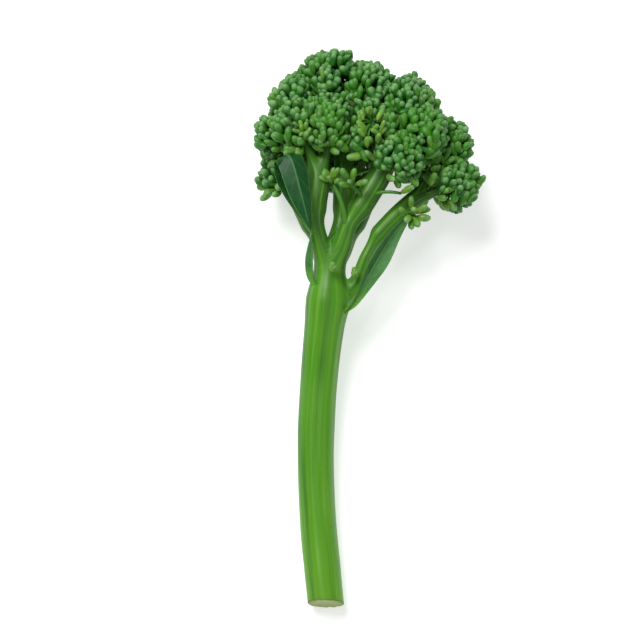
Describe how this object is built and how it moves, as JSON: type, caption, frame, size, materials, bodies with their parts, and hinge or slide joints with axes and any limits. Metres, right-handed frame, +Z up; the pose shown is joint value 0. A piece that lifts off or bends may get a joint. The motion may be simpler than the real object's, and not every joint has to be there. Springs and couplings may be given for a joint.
{
  "type": "broccolini stalk",
  "caption": "Cut stalk of broccolini lying on its side, with a long round stem that forks into branches and a loose head of small green buds and narrow leaves.",
  "frame": {"origin": "on the surface that the stalk lies on, under the middle of its overall box", "axes": "+Y runs along the stalk from the cut end to the head, +X is to the right when the stalk is seen from above with its head up, +Z is up"},
  "size_m": [0.0782, 0.1878, 0.0467],
  "materials": {
    "stem": "smooth fresh skin with a thin waxy bloom",
    "branch": "smooth fresh skin with a thin waxy bloom",
    "buds": "dull blue-green waxy flower buds",
    "leaf": "matt grey-green leaf with a waxy bloom"
  },
  "bodies": {
    "root": {"main_stem": "stem", "centre_branch": "branch", "left_branch": "branch", "right_branch": "branch", "back_left_branch": "branch", "back_right_branch": "branch", "right_shoot": "branch", "top_floret": "buds", "top_left_floret": "buds", "top_right_floret": "buds", "front_floret": "buds", "back_floret": "buds", "left_floret": "buds", "front_left_floret": "buds", "low_left_floret": "buds", "back_left_floret": "buds", "outer_top_floret": "buds", "front_right_floret": "buds", "right_floret": "buds", "front_low_floret": "buds", "outer_floret": "buds", "outer_low_floret": "buds", "back_outer_floret": "buds", "back_right_floret": "buds", "back_low_floret": "buds", "hanging_leaf": "leaf", "shoot_leaf": "leaf", "left_bract": "leaf", "front_axil_bud": "branch", "right_axil_bud": "branch"}
  },
  "joints": []
}
